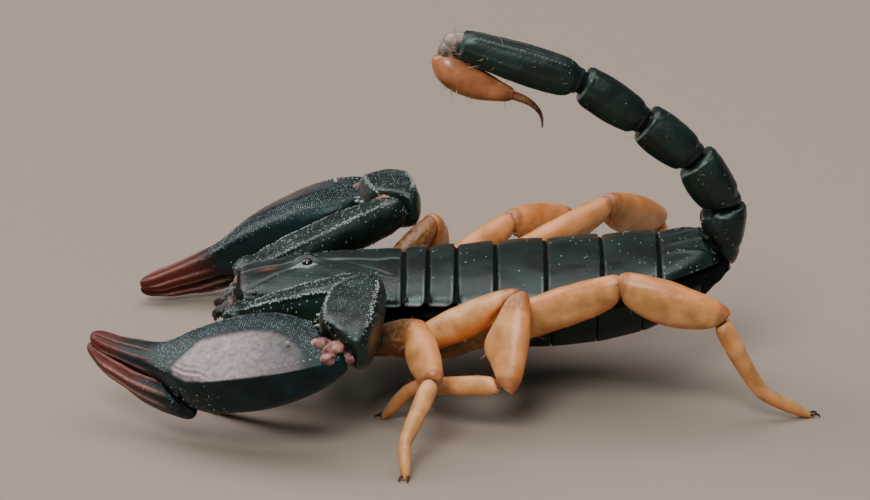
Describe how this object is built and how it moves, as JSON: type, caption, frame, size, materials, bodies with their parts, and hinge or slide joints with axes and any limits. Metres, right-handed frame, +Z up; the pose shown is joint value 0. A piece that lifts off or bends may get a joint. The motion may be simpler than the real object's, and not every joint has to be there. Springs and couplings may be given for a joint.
{
  "type": "scorpion",
  "caption": "Life-size still model of a small dark scorpion with pale legs, standing with pincers open and its tail curved over its back.",
  "frame": {"origin": "on the floor, under the middle of the animal's bounding box", "axes": "+Z up, the head points along -X, and the animal's left side faces -Y"},
  "size_m": [0.027, 0.0228, 0.0139],
  "materials": {
    "shell": "near-black horny shell with a satin gloss and fine granules",
    "underside": "dark leathery skin and satin plates",
    "leg": "translucent amber shell, satin",
    "finger": "dark red-brown horn, glossy",
    "jaw": "brown horn, satin",
    "eye": "polished black lens",
    "sting_bulb": "translucent orange-brown shell, glossy",
    "sting_point": "near-black polished point"
  },
  "bodies": {
    "root": {"carapace": "shell", "tergite_1": "shell", "tergite_2": "shell", "tergite_3": "shell", "tergite_4": "shell", "tergite_5": "shell", "tergite_6": "shell", "tergite_7": "shell", "belly": "underside", "coxae": "underside", "median_eye_left": "eye", "median_eye_right": "eye", "chelicera_left": "jaw", "chelicera_right": "jaw", "tail_segment_1": "shell", "tail_segment_2": "shell", "tail_segment_3": "shell", "tail_segment_4": "shell", "tail_segment_5": "shell", "telson_vesicle": "sting_bulb", "telson_aculeus": "sting_point", "pedipalp_femur_left": "shell", "pedipalp_patella_left": "shell", "pedipalp_hand_left": "shell", "pedipalp_finger_left": "finger", "pedipalp_femur_right": "shell", "pedipalp_patella_right": "shell", "pedipalp_hand_right": "shell", "pedipalp_finger_right": "finger", "leg_1_femur_left": "leg", "leg_1_patella_left": "leg", "leg_1_foot_left": "leg", "leg_1_femur_right": "leg", "leg_1_patella_right": "leg", "leg_1_foot_right": "leg", "leg_2_femur_left": "leg", "leg_2_patella_left": "leg", "leg_2_foot_left": "leg", "leg_2_femur_right": "leg", "leg_2_patella_right": "leg", "leg_2_foot_right": "leg", "leg_3_femur_left": "leg", "leg_3_patella_left": "leg", "leg_3_foot_left": "leg", "leg_3_femur_right": "leg", "leg_3_patella_right": "leg", "leg_3_foot_right": "leg", "leg_4_femur_left": "leg", "leg_4_patella_left": "leg", "leg_4_foot_left": "leg", "leg_4_femur_right": "leg", "leg_4_patella_right": "leg", "leg_4_foot_right": "leg"}
  },
  "joints": []
}
